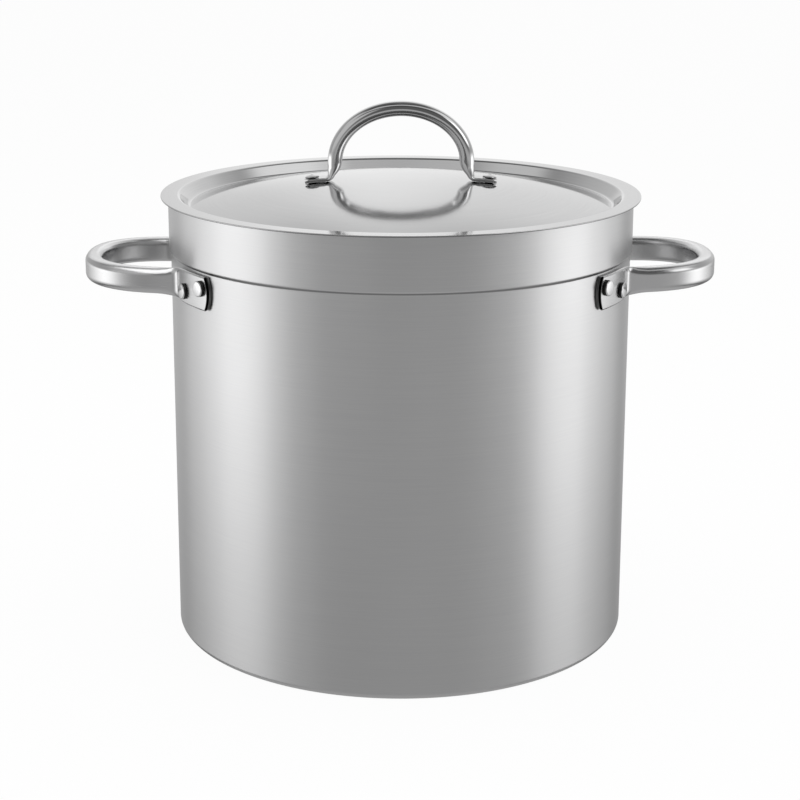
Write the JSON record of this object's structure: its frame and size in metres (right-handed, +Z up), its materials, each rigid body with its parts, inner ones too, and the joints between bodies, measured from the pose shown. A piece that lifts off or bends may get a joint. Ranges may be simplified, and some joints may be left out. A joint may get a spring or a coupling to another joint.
{
  "type": "stockpot",
  "caption": "Deep straight-sided stainless steel stockpot with a wider band below the rim, riveted loop side handles and a loose domed lid with an arched handle.",
  "frame": {"origin": "centre of the flat bottom, where the pot stands", "axes": "+Z up along the pot's axis, +X towards the right side handle, +Y to the back"},
  "size_m": [0.4148, 0.314, 0.3524],
  "materials": {
    "body_steel": "satin, fine lines round the wall",
    "lid_steel": "bright satin, turned lines",
    "side_handle_steel": "satin",
    "lid_handle_steel": "polished",
    "rivet_steel": "polished"
  },
  "bodies": {
    "pot": {"pot_body": "body_steel", "side_handle_left": "side_handle_steel", "side_handle_right": "side_handle_steel", "rivet_left_front_end": "rivet_steel", "rivet_left_front_leg": "rivet_steel", "rivet_left_back_end": "rivet_steel", "rivet_left_back_leg": "rivet_steel", "rivet_right_front_end": "rivet_steel", "rivet_right_front_leg": "rivet_steel", "rivet_right_back_end": "rivet_steel", "rivet_right_back_leg": "rivet_steel"},
    "lid": {"lid": "lid_steel", "lid_handle": "lid_handle_steel", "lid_rivet_left": "rivet_steel", "lid_rivet_right": "rivet_steel"}
  },
  "joints": [
    {"name": "lid_lift", "type": "slide", "parent": "pot", "child": "lid", "axis": [0, 0, 1], "range_m": [0, 0.3]}
  ]
}
